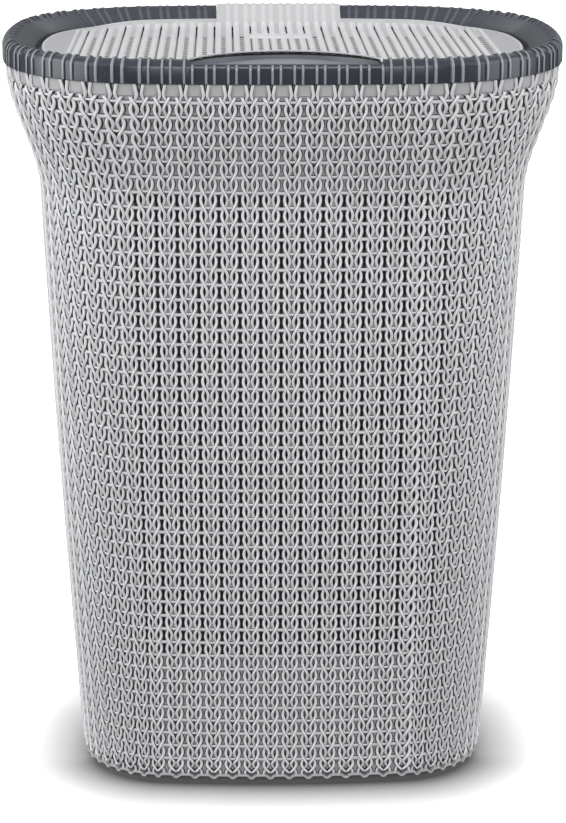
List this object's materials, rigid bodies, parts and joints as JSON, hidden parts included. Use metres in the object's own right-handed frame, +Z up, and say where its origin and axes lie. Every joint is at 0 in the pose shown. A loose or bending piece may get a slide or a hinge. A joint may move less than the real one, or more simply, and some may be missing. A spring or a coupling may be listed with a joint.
{
  "type": "laundry hamper with lid",
  "caption": "Tall tapered laundry hamper with rounded corners, a flared collar, a rim with a finger grip at the front and a lid hinged at the back.",
  "frame": {"origin": "centre of the footprint, on the floor", "axes": "+X to the viewer's right when the front is looked at, +Y from the front to the hinge at the back, +Z up"},
  "size_m": [0.448, 0.341, 0.6135],
  "materials": {
    "light_plastic": "satin",
    "dark_plastic": "satin"
  },
  "bodies": {
    "hamper": {"tub": "light_plastic", "rim_ring": "dark_plastic", "hinge_pin_left": "light_plastic", "hinge_pin_right": "light_plastic"},
    "lid": {"lid": "light_plastic"}
  },
  "joints": [
    {"name": "lid_hinge", "type": "hinge", "parent": "hamper", "child": "lid", "pos_m": [0, 0.16, 0.6045], "axis": [-1, 0, 0], "range_deg": [0, 100]}
  ]
}
